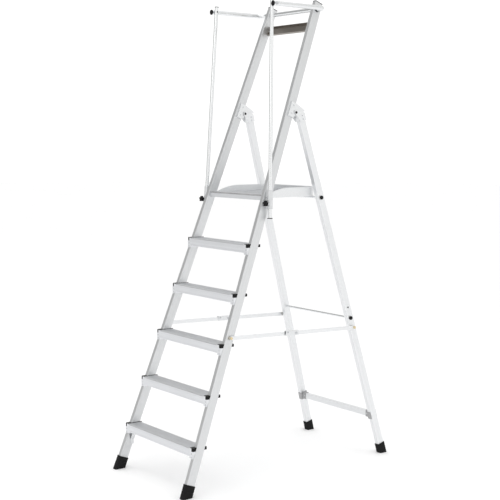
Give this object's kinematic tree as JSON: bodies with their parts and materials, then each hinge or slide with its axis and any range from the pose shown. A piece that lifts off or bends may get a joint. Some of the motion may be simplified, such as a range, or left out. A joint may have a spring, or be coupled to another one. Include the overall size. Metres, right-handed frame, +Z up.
{
  "type": "folding platform step ladder",
  "caption": "Folding platform step ladder with ribbed treads, a rimmed standing platform and a swing-down guard rail on sliding rods.",
  "frame": {"origin": "on the floor, under the middle of the open ladder's overall footprint", "axes": "+Z up, +Y from the climber's side towards the rear legs, +X to the right of a person climbing it"},
  "size_m": [0.677, 1.4218, 2.5314],
  "materials": {
    "frame_aluminium": "mill-finished extrusion with fine lengthwise drawing lines",
    "tread_aluminium": "ribbed extrusion",
    "dark_aluminium": "dark anodised",
    "rivet_aluminium": "plain",
    "zinc_steel": "zinc plated",
    "dark_steel": "blackened",
    "bolt_steel": "zinc plated",
    "boot_rubber": "matt",
    "black_plastic": "matt",
    "cast_aluminium": "fine-grained casting",
    "yellow_zinc": "yellow zinc plated",
    "knob_plastic": "matt",
    "grey_plastic": "matt"
  },
  "bodies": {
    "climbing_frame": {"stile_left": "frame_aluminium", "stile_right": "frame_aluminium", "stile_top_plugs": "black_plastic", "front_boots": "boot_rubber", "tread_1": "tread_aluminium", "tread_2": "tread_aluminium", "tread_3": "tread_aluminium", "tread_4": "tread_aluminium", "tread_5": "tread_aluminium", "tread_caps": "black_plastic", "frame_rivets": "rivet_aluminium", "step_struts": "zinc_steel", "top_cross_bar": "dark_aluminium", "guard_bushes": "black_plastic", "hinge_cheeks": "frame_aluminium", "hinge_pins": "dark_steel", "platform_bolts": "bolt_steel", "stay_front_bolts": "yellow_zinc", "clamp_bolts": "dark_steel"},
    "rear_frame": {"rear_leg_left": "frame_aluminium", "rear_leg_right": "frame_aluminium", "rear_boots": "boot_rubber", "lower_brace": "frame_aluminium", "brace_brackets": "grey_plastic", "rear_frame_rivets": "rivet_aluminium", "middle_rod": "frame_aluminium", "support_rod": "frame_aluminium", "rod_caps": "black_plastic", "leg_hinge_plates": "frame_aluminium", "leg_stop_bolts": "dark_steel"},
    "platform": {"platform_deck": "tread_aluminium", "platform_rim": "frame_aluminium", "platform_nosing": "tread_aluminium", "platform_ears": "zinc_steel", "platform_hooks": "zinc_steel", "platform_rivets": "rivet_aluminium"},
    "stay_front_left": {"stay_front_bar_left": "frame_aluminium", "knuckle_bracket_left": "zinc_steel", "knuckle_pins_left": "bolt_steel"},
    "stay_front_right": {"stay_front_bar_right": "frame_aluminium", "knuckle_bracket_right": "zinc_steel", "knuckle_pins_right": "bolt_steel"},
    "stay_rear_left": {"stay_rear_bar_left": "frame_aluminium", "stay_rear_bolt_left": "yellow_zinc"},
    "stay_rear_right": {"stay_rear_bar_right": "frame_aluminium", "stay_rear_bolt_right": "yellow_zinc"},
    "guard": {"guard_cross_tube": "frame_aluminium", "guard_arm_left": "frame_aluminium", "guard_arm_right": "frame_aluminium", "guard_spigots": "black_plastic", "arm_end_plugs": "black_plastic", "rod_bolts": "bolt_steel"},
    "clamp_left": {"sleeve_clamp_left": "cast_aluminium"},
    "clamp_right": {"sleeve_clamp_right": "cast_aluminium"},
    "rail_rod_left": {"guard_rod_left": "frame_aluminium", "guard_rod_fittings_left": "black_plastic"},
    "rail_rod_right": {"guard_rod_right": "frame_aluminium", "guard_rod_fittings_right": "black_plastic"},
    "knob_left": {"star_knob_left": "knob_plastic"},
    "knob_right": {"star_knob_right": "knob_plastic"}
  },
  "joints": [
    {"name": "rear_frame_fold", "type": "hinge", "parent": "climbing_frame", "child": "rear_frame", "pos_m": [0, 0.08855, 1.93], "axis": [-1, 0, 0], "range_deg": [0, 37]},
    {"name": "platform_tilt", "type": "hinge", "parent": "climbing_frame", "child": "platform", "pos_m": [0, -0.10979, 1.485], "axis": [1, 0, 0], "range_deg": [0, 69.2]},
    {"name": "stay_front_turn_left", "type": "hinge", "parent": "climbing_frame", "child": "stay_front_left", "pos_m": [-0.299, -0.38512, 0.776], "axis": [1, 0, 0], "range_deg": [0, 65.51]},
    {"name": "stay_knuckle_left", "type": "hinge", "parent": "stay_front_left", "child": "stay_rear_left", "pos_m": [-0.3034, 0.04462, 0.76091], "axis": [-1, 0, 0], "range_deg": [0, 170.86]},
    {"name": "stay_front_turn_right", "type": "hinge", "parent": "climbing_frame", "child": "stay_front_right", "pos_m": [0.299, -0.38512, 0.776], "axis": [1, 0, 0], "range_deg": [0, 65.51]},
    {"name": "stay_knuckle_right", "type": "hinge", "parent": "stay_front_right", "child": "stay_rear_right", "pos_m": [0.3034, 0.04462, 0.76091], "axis": [-1, 0, 0], "range_deg": [0, 170.86]},
    {"name": "guard_fold", "type": "hinge", "parent": "climbing_frame", "child": "guard", "pos_m": [0, 0.26369, 2.484], "axis": [1, 0, 0], "range_deg": [0, 69.2]},
    {"name": "clamp_swivel_left", "type": "hinge", "parent": "climbing_frame", "child": "clamp_left", "pos_m": [-0.2839, -0.11921, 1.476], "axis": [-0.9977, 0.0557, 0.0384], "range_deg": [0, 18.59]},
    {"name": "rail_rod_slide_left", "type": "slide", "parent": "clamp_left", "child": "rail_rod_left", "axis": [-0.0406, -0.0385, -0.9984], "range_m": [0, 0.27416]},
    {"name": "clamp_swivel_right", "type": "hinge", "parent": "climbing_frame", "child": "clamp_right", "pos_m": [0.2839, -0.11921, 1.476], "axis": [-0.9977, -0.0557, -0.0384], "range_deg": [0, 18.59]},
    {"name": "rail_rod_slide_right", "type": "slide", "parent": "clamp_right", "child": "rail_rod_right", "axis": [0.0406, -0.0385, -0.9984], "range_m": [0, 0.27416]},
    {"name": "knob_turn_left", "type": "hinge", "parent": "clamp_left", "child": "knob_left", "pos_m": [-0.28637, -0.14995, 1.45625], "axis": [0.0541, 0.9977, -0.0407], "range_deg": [0, 180]},
    {"name": "knob_turn_right", "type": "hinge", "parent": "clamp_right", "child": "knob_right", "pos_m": [0.28637, -0.14995, 1.45625], "axis": [0.0541, -0.9977, 0.0407], "range_deg": [0, 180]}
  ],
  "couplings": [
    {"joint": "platform_tilt", "follows": "rear_frame_fold", "ratio": 1.8703},
    {"joint": "stay_front_turn_left", "follows": "rear_frame_fold", "ratio": 1.7705},
    {"joint": "stay_knuckle_left", "follows": "rear_frame_fold", "ratio": 4.6178},
    {"joint": "stay_front_turn_right", "follows": "rear_frame_fold", "ratio": 1.7705},
    {"joint": "stay_knuckle_right", "follows": "rear_frame_fold", "ratio": 4.6178},
    {"joint": "clamp_swivel_left", "follows": "guard_fold", "ratio": 0.26861},
    {"joint": "rail_rod_slide_left", "follows": "guard_fold", "m_per_rad": 0.227},
    {"joint": "clamp_swivel_right", "follows": "guard_fold", "ratio": 0.26861},
    {"joint": "rail_rod_slide_right", "follows": "guard_fold", "m_per_rad": 0.227}
  ]
}
